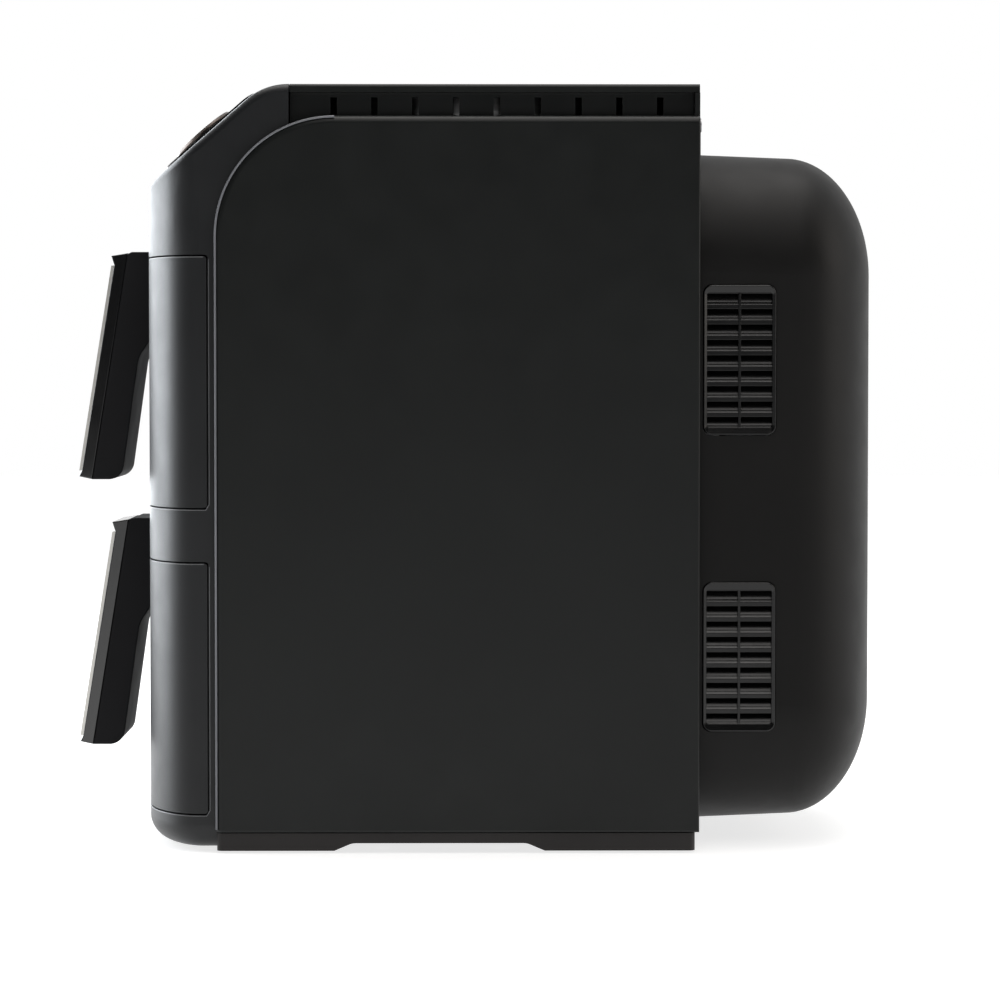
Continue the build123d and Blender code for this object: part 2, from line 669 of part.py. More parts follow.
def meal_rack():
    """Wire rack on splayed legs: each wire is a piece of its own."""
    x = 86.0
    deck = PAN_Z[0] + PAN_WALL + DECK_RISE
    floor = PAN_Z[0] + PAN_WALL + PLATE_RISE + 2 + 0.3 + WIRE_R
    front, rear = -114.0, 74.0
    step = 2 * WIRE_R
    wires = [rod((side * x, front, deck), (side * x, rear, deck), WIRE_R) for side in (-1, 1)]
    count = 13
    for index in range(count):
        y = front + 4 + index * (rear - front - 8) / (count - 1)
        wires.append(rod((-x - 2, y, deck + step), (x + 2, y, deck + step), WIRE_R))
    for top_y, foot_y in ((-72.0, -106.0), (32.0, 66.0)):
        for side in (-1, 1):
            leg = Vector(side * x, top_y, deck) - Vector(side * x, foot_y, floor)
            along = leg.normalized()
            start = Vector(side * x, foot_y, floor) + along * (WIRE_R + 0.4)
            end = Vector(side * x, top_y, deck) - along * (WIRE_R * 1.9)
            wires.append(rod(tuple(start), tuple(end), WIRE_R))
        wires.append(rod((-x - 1, foot_y, floor), (x + 1, foot_y, floor), WIRE_R))
    return Compound(children=wires)


def handle_piece(points, radii, half_x, edge):
    """Piece of a handle from its side outline, given from the drawer's face and the handle's top."""
    outline = rounded_outline([(FRONT_Y + y, HANDLE_TOP_Z + z) for y, z in points], radii)
    piece = side_prism(outline, -half_x, half_x)
    ends = piece.edges().filter_by(lambda e: e.bounding_box().size.X < 0.01)
    return fillet(ends, edge) if edge else piece


def handle_grip():
    """Matte rear half of the handle."""
    points = [(-0.6, 0), (-14.0, 0), (-33.0, -118.7), (-17.6, -118.7), (-8.6, -55), (-0.6, -43)]
    return handle_piece(points, {1: 3.0, 3: 8.0, 4: 15.0}, HANDLE_HALF, 0.8)


def handle_neck(level):
    """Bridge from one handle to its drawer front."""
    low = HANDLE_TOP_Z + HANDLE_LIFTS[level] - 41
    high = DRAWER_Z[1] + LIFTS[level] - 2
    return slab(HANDLE_HALF - 5, FRONT_Y - 2, FRONT_Y, low, high)


def handle_cover():
    """Gloss front half of the handle, with a lip above and below the trim."""
    points = [(-14.1, -0.6), (-22.8, -2.0), (-21.2, -7.0), (-38.4, -114.0), (-40.0, -117.2), (-33.1, -118.7)]
    return handle_piece(points, {}, HANDLE_HALF, 0.6)


def handle_trim():
    """Metal strip set between the cover's lips."""
    points = [(-21.2, -7.0), (-22.8, -7.1), (-40.0, -114.1), (-38.4, -114.0)]
    return handle_piece(points, {}, HANDLE_HALF - 1.0, 0)


# ---------------------------------------------------------------- assembly

def fixed_pieces():
    outer, inner = front_form(0), front_form(WALL)
    panel = side_panel()
    pieces = {
        "front_fascia": front_fascia(outer, inner, front_form(WALL / 2)),
        "side_panel_right": panel,
        "side_panel_left": mirror(panel, about=Plane.YZ),
        "top_cover": top_cover(),
        "base_pan": base_pan(),
        "rubber_feet": rubber_feet(),
        "rear_plate": rear_plate(),
        "rear_housing": rear_housing(),
        "vent_grilles_right": vent_grilles(1),
        "vent_grilles_left": vent_grilles(-1),
        "cord_gland": cord_gland(),
        "case_screws": case_screws(),
        "control_bezel": control_bezel(crowned_form(-1.2), crowned_form(0), crowned_form(2.3)),
        "display_window": display_window(),
        "display_board": display_board(),
        "dial_knob": dial_knob(),
        "dial_shaft": dial_shaft(),
        "power_board": power_board(),
        "cavity_insulation": cavity_insulation(),
        "drawer_rails": drawer_rails(),
        "temperature_probes": temperature_probes(),
        "drawer_switches": drawer_switches(),
    }
    for number, x in enumerate(sorted(key_places()), start=1):
        pieces[f"key_{number}"] = control_key(x)
    return pieces, outer, inner


def repeated_pieces(outer, inner):
    """Pieces that both levels have, by name, each lifted to its level."""
    pieces = {
        "cavity_liner": cavity_liner(),
        "fan_baffle": fan_baffle(),
        "heater_coil": heater_coil(),
        "fan_chamber": fan_chamber(),
        "fan_motor": fan_motor(),
        "impeller": impeller(),
        "fan_shaft": fan_shaft(),
        "cooling_fan": cooling_fan(),
        "drawer_front": drawer_front(outer, inner),
        "drawer_back_panel": drawer_back_panel(),
        "drawer_pan": drawer_pan(),
        "crisper_plate": crisper_plate(),
        "plate_feet": plate_feet(),
        "meal_rack": meal_rack(),
    }
    handles = {"handle_grip": handle_grip(), "handle_cover": handle_cover(), "handle_trim": handle_trim()}
    named = {}
    for level, lift in LIFTS.items():
        for name, part in pieces.items():
            named[f"{level}_{name}"] = Pos(0, 0, lift) * part
        for name, part in handles.items():
            named[f"{level}_{name}"] = Pos(0, 0, HANDLE_LIFTS[level]) * part
        named[f"{level}_handle_grip"] += handle_neck(level)
    return named


def main():
    os.makedirs("parts", exist_ok=True)
    pieces, outer, inner = fixed_pieces()
    pieces.update(repeated_pieces(outer, inner))
    for name, part in pieces.items():
        export_step(part, f"parts/{name}.step")


main()
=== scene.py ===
import json
from math import cos, pi, radians, sin

import bmesh
import bpy
from mathutils import Matrix, Vector


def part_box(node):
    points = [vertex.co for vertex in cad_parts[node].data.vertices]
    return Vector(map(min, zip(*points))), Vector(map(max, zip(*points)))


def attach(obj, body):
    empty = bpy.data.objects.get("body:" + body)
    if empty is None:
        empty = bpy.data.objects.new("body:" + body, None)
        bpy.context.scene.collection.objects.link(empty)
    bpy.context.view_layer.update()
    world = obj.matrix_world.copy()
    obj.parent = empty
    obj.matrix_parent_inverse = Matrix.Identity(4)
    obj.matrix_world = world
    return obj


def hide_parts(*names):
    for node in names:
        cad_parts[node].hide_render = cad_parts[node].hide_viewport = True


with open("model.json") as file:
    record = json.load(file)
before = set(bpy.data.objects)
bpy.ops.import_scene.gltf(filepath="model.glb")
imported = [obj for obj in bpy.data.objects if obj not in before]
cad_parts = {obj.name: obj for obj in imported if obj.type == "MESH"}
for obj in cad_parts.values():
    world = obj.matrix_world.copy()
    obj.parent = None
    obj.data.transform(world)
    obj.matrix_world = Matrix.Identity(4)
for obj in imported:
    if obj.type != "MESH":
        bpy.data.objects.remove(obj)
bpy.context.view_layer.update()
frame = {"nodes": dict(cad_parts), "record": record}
MM = 0.001
LEVELS = ("lower", "upper")
SIDES = {"right": 1, "left": -1}


# ---------------------------------------------------------------- materials

class Surface:
    """A Principled material whose colour, roughness and relief come from procedural textures."""

    def __init__(self, name, rough, metal=0.0, spec=0.5, coat=0.0, coat_rough=0.05):
        self.mat = bpy.data.materials.new(name)
        self.mat.use_nodes = True
        self.tree = self.mat.node_tree
        self.tree.nodes.clear()
        self.shader = self.add("ShaderNodeBsdfPrincipled")
        output = self.add("ShaderNodeOutputMaterial")
        self.link(self.shader.outputs["BSDF"], output.inputs["Surface"])
        self.shader.inputs["Roughness"].default_value = rough
        self.shader.inputs["Metallic"].default_value = metal
        self.shader.inputs["Specular IOR Level"].default_value = spec
        self.shader.inputs["Coat Weight"].default_value = coat
        self.shader.inputs["Coat Roughness"].default_value = coat_rough
        self.coords = self.add("ShaderNodeTexCoord").outputs["Object"]

    def add(self, kind):
        return self.tree.nodes.new(kind)

    def link(self, source, target):
        self.tree.links.new(source, target)

    def noise(self, scale, detail=3.0, stretch=(1, 1, 1)):
        coords = self.coords
        if stretch != (1, 1, 1):
            mapping = self.add("ShaderNodeMapping")
            mapping.inputs["Scale"].default_value = stretch
            self.link(coords, mapping.inputs["Vector"])
            coords = mapping.outputs["Vector"]
        node = self.add("ShaderNodeTexNoise")
        node.inputs["Scale"].default_value = scale
        node.inputs["Detail"].default_value = detail
        self.link(coords, node.inputs["Vector"])
        return node.outputs["Fac"]

    def colour(self, low, high, factor, start=0.35, end=0.65):
        """Base colour that runs from low to high as factor goes from start to end."""
        ramp = self.add("ShaderNodeValToRGB")
        ramp.color_ramp.elements[0].position = start
        ramp.color_ramp.elements[1].position = end
        ramp.color_ramp.elements[0].color = (*low, 1)
        ramp.color_ramp.elements[1].color = (*high, 1)
        self.link(factor, ramp.inputs["Fac"])
        self.link(ramp.outputs["Color"], self.shader.inputs["Base Color"])
        return self

    def roughness(self, low, high, factor, start=0.3, end=0.7):
        span = self.add("ShaderNodeMapRange")
        span.inputs["From Min"].default_value = start
        span.inputs["From Max"].default_value = end
        span.inputs["To Min"].default_value = low
        span.inputs["To Max"].default_value = high
        self.link(factor, span.inputs["Value"])
        self.link(span.outputs["Result"], self.shader.inputs["Roughness"])
        return self

    def relief(self, factor, strength, depth=0.0002):
        bump = self.add("ShaderNodeBump")
        bump.inputs["Strength"].default_value = strength
        bump.inputs["Distance"].default_value = depth
        self.link(factor, bump.inputs["Height"])
        self.link(bump.outputs["Normal"], self.shader.inputs["Normal"])
        return self


def moulded(name, colour, rough, grain=0.12, scale=1500.0, spec=0.5, tint=0.10):
    """Injection-moulded plastic: fine spark-eroded grain, faint cloudiness and uneven sheen."""
    surface = Surface(name, rough, spec=spec)
    low = [c * (1 - tint) for c in colour]
    high = [c * (1 + tint) for c in colour]
    surface.colour(low, high, surface.noise(14.0, 4.0))
    surface.roughness(rough - 0.03, rough + 0.04, surface.noise(55.0, 5.0))
    return surface.relief(surface.noise(scale, 2.0), grain, 0.00015).mat


def glossy(name, colour, rough=0.08):
    """Polished black plastic with faint orange peel and handling haze."""
    surface = Surface(name, rough, spec=0.5, coat=0.6, coat_rough=0.03)
    surface.colour([c * 0.85 for c in colour], [c * 1.15 for c in colour], surface.noise(20.0))
    surface.roughness(rough, rough + 0.07, surface.noise(35.0, 6.0))
    return surface.relief(surface.noise(160.0, 1.0), 0.02, 0.0001).mat


def brushed(name, colour, rough, stretch=(1, 1, 1), scale=500.0, grain=0.10):
    """Brushed metal with its lines along the axis of the smallest stretch."""
    surface = Surface(name, rough, metal=1.0)
    lines = surface.noise(scale, 4.0, stretch)
    surface.colour([c * 0.86 for c in colour], colour, lines, 0.3, 0.7)
    surface.roughness(rough - 0.05, rough + 0.08, lines)
    return surface.relief(lines, grain, 0.00008).mat


def speckled(name, colour, fleck, rough):
    """Non-stick coating: dark with fine pale flecks."""
    surface = Surface(name, rough, spec=0.45)
    surface.colour(colour, fleck, surface.noise(900.0, 1.0), 0.66, 0.72)
    surface.roughness(rough - 0.05, rough + 0.08, surface.noise(60.0, 4.0))
    return surface.relief(surface.noise(700.0, 3.0), 0.10, 0.0001).mat


def glass(name):
    """Smoked display glass."""
    surface = Surface(name, 0.03, spec=0.5)
    surface.colour((0.010, 0.010, 0.012), (0.016, 0.016, 0.019), surface.noise(20.0))
    surface.shader.inputs["Alpha"].default_value = 0.55
    return surface.relief(surface.noise(90.0, 1.0), 0.01, 0.0001).mat


def glowing(name, colour, strength):
    """Lit display segment."""
    surface = Surface(name, 0.4)
    surface.colour([c * 0.8 for c in colour], colour, surface.noise(300.0))
    surface.shader.inputs["Emission Color"].default_value = (*colour, 1)
    surface.shader.inputs["Emission Strength"].default_value = strength
    return surface.mat


def wool(name):
    """Mineral wool: pale fibres."""
    surface = Surface(name, 0.95, spec=0.1)
    surface.colour((0.50, 0.47, 0.38), (0.74, 0.71, 0.62), surface.noise(260.0, 6.0, (1, 1, 4)))
    return surface.relief(surface.noise(420.0, 6.0, (1, 1, 4)), 0.8, 0.0008).mat


SURFACES = {
    "satin_shell": moulded("satin_graphite", (0.0052, 0.0060, 0.0070), 0.40, 0.30, 1100.0, 0.38),
    "matte_shell": moulded("matte_black", (0.0060, 0.0070, 0.0067), 0.36, spec=0.26),
    "housing": moulded("housing_black", (0.0056, 0.0054, 0.0052), 0.46, 0.16, 1200.0, 0.16),
    "grille": moulded("grille_black", (0.0026, 0.0026, 0.0028), 0.22, 0.06, 1200.0, 0.38),
    "grip": moulded("grip_black", (0.0165, 0.0165, 0.0175), 0.50, 0.16, spec=0.02),
    # pale grey base colour: a painted highlight on the seam lips, not the shell's own colour
    "painted_seam_highlight": moulded("painted_seam_highlight", (0.100, 0.103, 0.108), 0.34, 0.05, 1100.0),
    # light grey base colour: a painted highlight on the black side panel's edge lip
    "painted_panel_highlight": moulded("painted_panel_highlight", (0.150, 0.155, 0.170), 0.34, 0.05, 1100.0),
    "smoked_metal": brushed("smoked_trim", (0.085, 0.070, 0.062), 0.28, (1, 1, 0.02)),
    "base": moulded("base_black", (0.0190, 0.0170, 0.0165), 0.50, 0.16, 1200.0, 0.30),
    "gloss_black": glossy("gloss_black", (0.0050, 0.0050, 0.0055)),
    "knurled_black": moulded("knurled_black", (0.0060, 0.0055, 0.0052), 0.30, 0.05, spec=0.25),
    "display": glass("smoked_glass"),
    "trim_metal": brushed("bright_trim", (0.72, 0.71, 0.67), 0.34, (1, 1, 0.04), 2400.0, 0.03),
    "sheet_steel": brushed("sheet_steel", (0.52, 0.52, 0.53), 0.36, (0.05, 1, 1), 300.0),
    "nonstick": speckled("nonstick", (0.012, 0.012, 0.012), (0.10, 0.10, 0.10), 0.42),
    "wire": brushed("chromed_wire", (0.72, 0.72, 0.73), 0.14, scale=700.0, grain=0.04),
    "silicone": moulded("silicone", (0.022, 0.022, 0.022), 0.62, 0.10, 700.0),
    "heater": brushed("heater_tube", (0.27, 0.25, 0.24), 0.42, scale=400.0),
    "motor": moulded("motor_paint", (0.20, 0.21, 0.22), 0.42, 0.10, 600.0),
    "circuit": moulded("circuit_board", (0.015, 0.090, 0.035), 0.35, 0.20, 420.0, tint=0.25),
    "wool": wool("mineral_wool"),
    "screws": brushed("screw_steel", (0.34, 0.34, 0.35), 0.34, scale=900.0),
    "aluminium": brushed("fan_aluminium", (0.74, 0.75, 0.76), 0.32),
    "marking": moulded("pale_marking", (0.62, 0.63, 0.64), 0.45, 0.05, 900.0),
    "figures": glowing("lit_figures", (0.75, 0.90, 1.0), 2.2),
}


def dress_cad_nodes():
    """Gives every CAD node the surface of its record slot; the handles' grips have their own."""
    slots = {part["node"]: part["material_slot"] for part in frame["record"]["subparts"]}
    slots.update({f"{level}_handle_grip": "grip" for level in LEVELS})
    for name, node in frame["nodes"].items():
        node.data.materials.clear()
        node.data.materials.append(SURFACES[slots[name]])


dress_cad_nodes()


# ---------------------------------------------------------------- mesh helpers

def new_piece(name, mesh, surface, body, *replaced):
    """A detailed piece that rides on a body and may stand for CAD nodes."""
    piece = bpy.data.objects.new(name, mesh)
    bpy.context.scene.collection.objects.link(piece)
    mesh.materials.clear()
    mesh.materials.append(SURFACES[surface])
    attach(piece, body)
    if replaced:
        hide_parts(*replaced)
    return piece


def finished_mesh(form, name, smooth=True):
    """Mesh from a bmesh, with its normals outwards."""
    bmesh.ops.recalc_face_normals(form, faces=form.faces)
    mesh = bpy.data.meshes.new(name)
    form.to_mesh(mesh)
    form.free()
    for polygon in mesh.polygons:
        polygon.use_smooth = smooth
    return mesh


def soften(piece, width, segments=2, angle=35):
    """Rounds the sharp edges of a piece."""
    bevel = piece.modifiers.new("edges", "BEVEL")
    bevel.width = width
    bevel.segments = segments
    bevel.limit_method = "ANGLE"
    bevel.angle_limit = radians(angle)
    bevel.harden_normals = True


def prism(form, outline, shift):
    """Adds the closed body between an outline and its copy moved by shift."""
    first = [form.verts.new(point) for point in outline]
    second = [form.verts.new(Vector(point) + Vector(shift)) for point in outline]
    form.faces.new(first)
    form.faces.new(second)
    for i in range(len(outline)):
        j = (i + 1) % len(outline)
        form.faces.new((first[i], first[j], second[j], second[i]))


def rounded_loop(y0, y1, z0, z1, radius, steps=8):
    """Points of a rounded rectangle, as (y, z)."""
    points = []
    corners = ((y1 - radius, z0 + radius, -90), (y1 - radius, z1 - radius, 0),
               (y0 + radius, z1 - radius, 90), (y0 + radius, z0 + radius, 180))
    for cy, cz, start in corners:
        for step in range(steps + 1):
            angle = radians(start + 90 * step / steps)
            points.append((cy + radius * cos(angle), cz + radius * sin(angle)))
    return points


def lathe(form, profile, steps, ripple=None):
    """Revolves (radius, height) points round Z; ripple(angle, index) scales the radius."""
    rings = []
    for index, (radius, height) in enumerate(profile):
        ring = []
        for step in range(steps):
            angle = 2 * pi * step / steps
            r = radius * (ripple(angle, index) if ripple else 1)
            ring.append(form.verts.new((r * cos(angle), r * sin(angle), height)))
        rings.append(ring)
    for low, high in zip(rings, rings[1:]):
        for i in range(steps):
            j = (i + 1) % steps
            form.faces.new((low[i], low[j], high[j], high[i]))
    return rings


# ---------------------------------------------------------------- dial, on the sloping panel

JOINTS = {joint["name"]: joint for joint in frame["record"]["behaviour"]["joints"]}
DIAL_FOOT = Vector(JOINTS["dial_turn"]["pos_m"])
OUT = Vector(JOINTS["dial_turn"]["axis"]).normalized()
ALONG = Vector((0, OUT.z, -OUT.y))
PANEL = Matrix((Vector((1, 0, 0)), ALONG, OUT)).transposed().to_4x4()
DIAL_PLACE = Matrix.Translation(DIAL_FOOT) @ PANEL


RIBS = 72
RIB_DEPTH = 0.010                # of the radius


def knurl(angle, index):
    """Fine ribs round the middle rings of the skirt."""
    return 1 - RIB_DEPTH * (0.5 + 0.5 * cos(RIBS * angle)) if 1 <= index <= 4 else 1


# name, surface, (radius, height) in mm, steps round, ripple, closed on top, (along, out) shift in mm
DIAL_PARTS = (
    ("dial_skirt", "knurled_black", ((17.2, 1.0), (18.5, 1.0), (18.9, 1.5), (18.9, 3.5), (18.9, 5.9),
                                     (18.4, 6.2), (17.9, 6.2)), RIBS * 6, knurl, False, (0, 0)),
    ("dial_ring", "smoked_metal", ((17.9, 5.6), (18.6, 6.2), (18.6, 6.9), (17.5, 8.1), (16.6, 8.25),
                                   (16.3, 8.0), (16.3, 5.6)), 180, None, False, (0, 0)),
    ("dial_cap", "gloss_black", ((16.3, 6.5), (16.3, 7.6), (15.9, 7.9), (13.0, 7.75), (8.0, 7.55),
                                 (3.0, 7.5)), 180, None, True, (0, 0)),
    ("dial_pointer", "marking", ((0.9, 7.6), (0.9, 7.8), (0.7, 7.9)), 40, None, True, (12.6, 0.1)),
)
DIAL_EDGE = 0.1 * MM


def make_dial():
    """Knurled skirt, smoked chamfered ring and dished gloss cap with a pointer dot."""
    for name, surface, profile, steps, ripple, closed, (along, out) in DIAL_PARTS:
        form = bmesh.new()
        rings = lathe(form, [(r * MM, h * MM) for r, h in profile], steps, ripple)
        if closed:
            form.faces.new(rings[-1])
        bmesh.ops.translate(form, verts=form.verts, vec=(0, along * MM, out * MM))
        mesh = finished_mesh(form, name)
        mesh.transform(DIAL_PLACE)
        soften(new_piece(name, mesh, surface, "dial", "dial_knob"), DIAL_EDGE)


# ---------------------------------------------------------------- louvred side grilles

GRILLE_MARGIN = 1.8 * MM         # from the CAD node's box to the visible frame
GRILLE_HEIGHT = 75.0 * MM
GRILLE_PITCH = 148.7 * MM        # from the lower grille to the upper one
RIM_RISE = 1.0 * MM              # frame's rim, proud of the louvres
RIM_CHAMFER = 0.5 * MM
FRAME_REACH = (2.0 * MM, 4.0 * MM)       # width of the frame's slope beside and above the slots
LOUVRES = 9
SLOT = 4.6 * MM
SLOT_INSET = 6.7 * MM            # from the frame's end to the middle of the first slot
BAR_INSET = 1.5 * MM             # louvre's end, inside the frame
MULLION_HALF = 0.7 * MM
MULLION_DEPTH = 3.5 * MM
MULLION_INSET = 3.5 * MM
LOUVRE_FACE = 0.2 * MM           # louvres, behind the frame's inner edge
HEAD_DEPTH = 3.0 * MM            # plain bar above the top slot
GRILLE_EDGE = 0.28 * MM


def grille_form(y0, y1, z0, z1, back, face):
    """Rounded frame with two columns of hooked louvres, seen from +X."""
    form = bmesh.new()
    reach_y, reach_z = FRAME_REACH
    outer = rounded_loop(y0, y1, z0, z1, 4.5 * MM)
    rim = rounded_loop(y0 + RIM_CHAMFER, y1 - RIM_CHAMFER, z0 + RIM_CHAMFER, z1 - RIM_CHAMFER, 4.0 * MM)
    inner = rounded_loop(y0 + reach_y, y1 - reach_y, z0 + reach_z, z1 - reach_z, 1.0 * MM)
    proud = face + RIM_RISE
    loops = [[form.verts.new((x, y, z)) for y, z in ring]
             for x, ring in ((back, outer), (proud - RIM_CHAMFER, outer), (proud, rim), (face, inner),
                             (back, inner))]
    for first, second in zip(loops, loops[1:] + loops[:1]):
        for i in range(len(first)):
            j = (i + 1) % len(first)
            form.faces.new((first[i], first[j], second[j], second[i]))
    start, across = y0 + BAR_INSET, (0, y1 - y0 - 2 * BAR_INSET, 0)
    pitch = (z1 - z0 - 2 * SLOT_INSET) / (LOUVRES - 1)
    web, front = pitch - SLOT, face - LOUVRE_FACE
    for row in range(LOUVRES):
        low = z0 + SLOT_INSET + pitch * row - SLOT / 2
        hook = [(front, low - web), (front, low - 0.9 * MM), (face - 1.5 * MM, low + 0.5 * MM),
                (face - 4.3 * MM, low + 4.9 * MM), (face - 5.2 * MM, low + 4.6 * MM),
                (face - 2.0 * MM, low - web + 0.4 * MM)]
        prism(form, [(x, start, z) for x, z in hook], across)
    head = (z1 - SLOT_INSET + SLOT / 2, z1 - MULLION_INSET)
    depth = face - HEAD_DEPTH
    prism(form, [(front, start, head[0]), (front, start, head[1]), (depth, start, head[1]),
                 (depth, start, head[0])], across)
    middle, foot, rear = (y0 + y1) / 2, z0 + MULLION_INSET, face - MULLION_DEPTH
    prism(form, [(face, middle - MULLION_HALF, foot), (face, middle + MULLION_HALF, foot),
                 (rear, middle + MULLION_HALF, foot), (rear, middle - MULLION_HALF, foot)],
          (0, 0, z1 - z0 - 2 * MULLION_INSET))
    return form


def make_grilles():
    """Two grilles in each side of the motor housing; the left ones mirror the right."""
    low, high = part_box("vent_grilles_right")
    for side, sign in SIDES.items():
        for index, level in enumerate(LEVELS):
            base = low.z + GRILLE_MARGIN + GRILLE_PITCH * index
            form = grille_form(low.y + GRILLE_MARGIN, high.y - GRILLE_MARGIN, base, base + GRILLE_HEIGHT,
                               low.x, high.x)
            bmesh.ops.scale(form, verts=form.verts, vec=(sign, 1, 1))
            name = f"{level}_louvres_{side}"
            mesh = finished_mesh(form, name, False)
            soften(new_piece(name, mesh, "grille", "cabinet", f"vent_grilles_{side}"), GRILLE_EDGE)


# ---------------------------------------------------------------- display figures and key symbols

SEGMENTS = {"0": "abcdef", "1": "bc", "2": "abged", "8": "abcdefg"}
FIGURES = ((-30, "1"), (-24.5, "8"), (-19, "0"), (21, "2"), (26.5, "0"))     # X in mm, figure
FIGURE_SIZE = (2.7 * MM, 1.7 * MM)       # width, and height of one half
DEGREE_PLACE = (-14.6 * MM, 1.1 * MM)
DEGREE_SIZE = (1.5 * MM, 0.75 * MM)
DOTS_X = (-4.0 * MM, 4.0 * MM)
DOT_R = 1.1 * MM
FIGURE_RISE = 0.12 * MM
DISPLAY_UP = 26.1 * MM           # from the dial's middle, up the slope
DISPLAY_DEPTH = 3.38 * MM        # display's figures, under the dial's foot


def place_segment(form, shape, x, u, size, tall):
    """One bar of a seven-segment figure, as a flat six-sided prism."""
    half, wide = size / 2, size * 0.13
    spots = {"a": (0, tall, 0), "b": (half, tall / 2, 1), "c": (half, -tall / 2, 1), "d": (0, -tall, 0),
             "e": (-half, -tall / 2, 1), "f": (-half, tall / 2, 1), "g": (0, 0, 0)}
    cx, cu, upright = spots[shape]
    length = (tall if upright else size) / 2 - wide * 0.35
    bar = [(-length, 0), (-length + wide, wide), (length - wide, wide), (length, 0),
           (length - wide, -wide), (-length + wide, -wide)]
    points = [(x + cx + (b if upright else a), u + cu + (a if upright else b), 0) for a, b in bar]
    prism(form, points, (0, 0, FIGURE_RISE))


def make_display():
    """Temperature and time on the display, in generic figures."""
    form = bmesh.new()
    for x, figure in FIGURES:
        for shape in SEGMENTS[figure]:
            place_segment(form, shape, x * MM, 0, *FIGURE_SIZE)
    for shape in "abfg":
        place_segment(form, shape, *DEGREE_PLACE, *DEGREE_SIZE)
    for x in DOTS_X:
        prism(form, [(x + DOT_R * cos(pi * k / 8), DOT_R * sin(pi * k / 8), 0) for k in range(16)],
              (0, 0, FIGURE_RISE))
    mesh = finished_mesh(form, "display_figures", False)
    mesh.transform(DIAL_PLACE @ Matrix.Translation((0, DISPLAY_UP, -DISPLAY_DEPTH)))
    new_piece("display_figures", mesh, "figures", "cabinet")


def ring_outline(radius, start, end, steps=28):
    """Points of an arc between two angles in degrees."""
    angles = [radians(start + (end - start) * k / steps) for k in range(steps + 1)]
    return [(radius * cos(angle), radius * sin(angle)) for angle in angles]


def ray(angle, inner, outer):
    """Ends of a line that points away from the middle, at an angle in degrees."""
    return [(radius * cos(radians(angle)), radius * sin(radians(angle))) for radius in (inner, outer)]


# Lines in mm: power, temperature, time and light
KEY_SYMBOLS = {
    1: [ring_outline(2.4, 125, 415), [(0, 0.4), (0, 3.1)]],
    2: [ring_outline(1.3, 128, 412), [(-0.8, 1.0), (-0.8, 3.0), (0, 3.5), (0.8, 3.0), (0.8, 1.0)]],
    3: [ring_outline(2.5, 0, 360), [(0, 1.6), (0, 0), (1.3, -0.6)]],
    4: [ring_outline(1.5, 0, 360)] + [ray(angle, 2.1, 3.0) for angle in range(0, 360, 45)],
}
LINE_HALF = 0.16 * MM
LINE_RISE = 0.04 * MM
LINE_GAP = 0.02 * MM             # line's underside, off the key's face
PROBE_HEIGHT = 20 * MM


def make_key_symbols():
    """Thin printed lines that follow each key's crowned face."""
    for number, symbol in KEY_SYMBOLS.items():
        node = frame["nodes"][f"key_{number}"]
        low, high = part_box(f"key_{number}")
        middle = DIAL_FOOT.copy()
        middle.x = (low.x + high.x) / 2
        form = bmesh.new()
        for line in symbol:
            for (x0, u0), (x1, u1) in zip(line, line[1:]):
                start, end = Vector((x0, u0, 0)) * MM, Vector((x1, u1, 0)) * MM
                across = Vector((-(end - start).y, (end - start).x, 0)).normalized() * LINE_HALF
                corners = []
                for point in (start + across, start - across, end - across, end + across):
                    foot = middle + Vector((point.x, 0, 0)) + ALONG * point.y
                    hit, spot, _, _ = node.ray_cast(foot + OUT * PROBE_HEIGHT, -OUT)
                    corners.append(spot + OUT * LINE_GAP if hit else foot)
                prism(form, corners, OUT * LINE_RISE)
        mesh = finished_mesh(form, f"key_symbol_{number}", False)
        new_piece(f"key_symbol_{number}", mesh, "marking", f"key_{number}")


# ---------------------------------------------------------------- rounded lips along the seams, pale-coloured as a painted highlight

SEAM = 0.8 * MM
LIP_R, LIP_INSET = 0.42 * MM, 0.36 * MM
SEAM_CORNER = 1.6 * MM           # straight cut across the lip's corner
HANDLE_CLEAR = 10 * MM           # X where the half outline starts
FRONT_REACH = (60 * MM, 30 * MM)         # semi-axes of the front's rounded side, along X and Y
PANEL_LIP_R, PANEL_LIP_INSET = 0.55 * MM, 0.70 * MM
PANEL_TOP = 367.4 * MM
PANEL_BEND = 59.3 * MM           # radius of the lip round the panel's shoulder
PANEL_FOOT = 1.5 * MM            # lip's lower end, above the panel's


def seam_path(z, rear):
    """Half outline of the front at one height, from the middle round the +X corner to rear."""
    low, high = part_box("lower_drawer_front")
    half, front = high.x - LIP_INSET, low.y + LIP_INSET
    reach_x, reach_y = (reach - LIP_INSET for reach in FRONT_REACH)
    flat = half - reach_x
    path = [Vector((HANDLE_CLEAR + (flat - HANDLE_CLEAR) * k / 6, front, z)) for k in range(6)]
    for k in range(25):
        angle = radians(90 * k / 24)
        path.append(Vector((flat + reach_x * sin(angle), front + reach_y * (1 - cos(angle)), z)))
    path.append(Vector((half, rear, z)))
    return path


def make_seam_lips():
    """Fine rounded lips along both sides of each drawer's seam, pale-coloured as a painted highlight."""
    for level in LEVELS:
        low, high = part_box(f"{level}_drawer_front")
        opening = seam_path(low.z - SEAM - LIP_INSET, high.y + SEAM - 1.4 * MM)
        corner = opening[-1].copy()
        corner.y, corner.z = high.y + SEAM + LIP_INSET, low.z + SEAM_CORNER
        opening += [corner, Vector((corner.x, corner.y, high.z - SEAM_CORNER))]
        drawer = seam_path(high.z - LIP_INSET, high.y - SEAM_CORNER)
        for name, path, body in ((f"{level}_opening_lip", opening, "cabinet"),
                                 (f"{level}_drawer_lip", drawer, f"{level}_drawer")):
            lines = [([Vector((side * point.x, point.y, point.z)) for point in path], False)
                     for side in (-1, 1)]
            new_piece(name, wire_mesh(name, lines, LIP_R), "painted_seam_highlight", body)


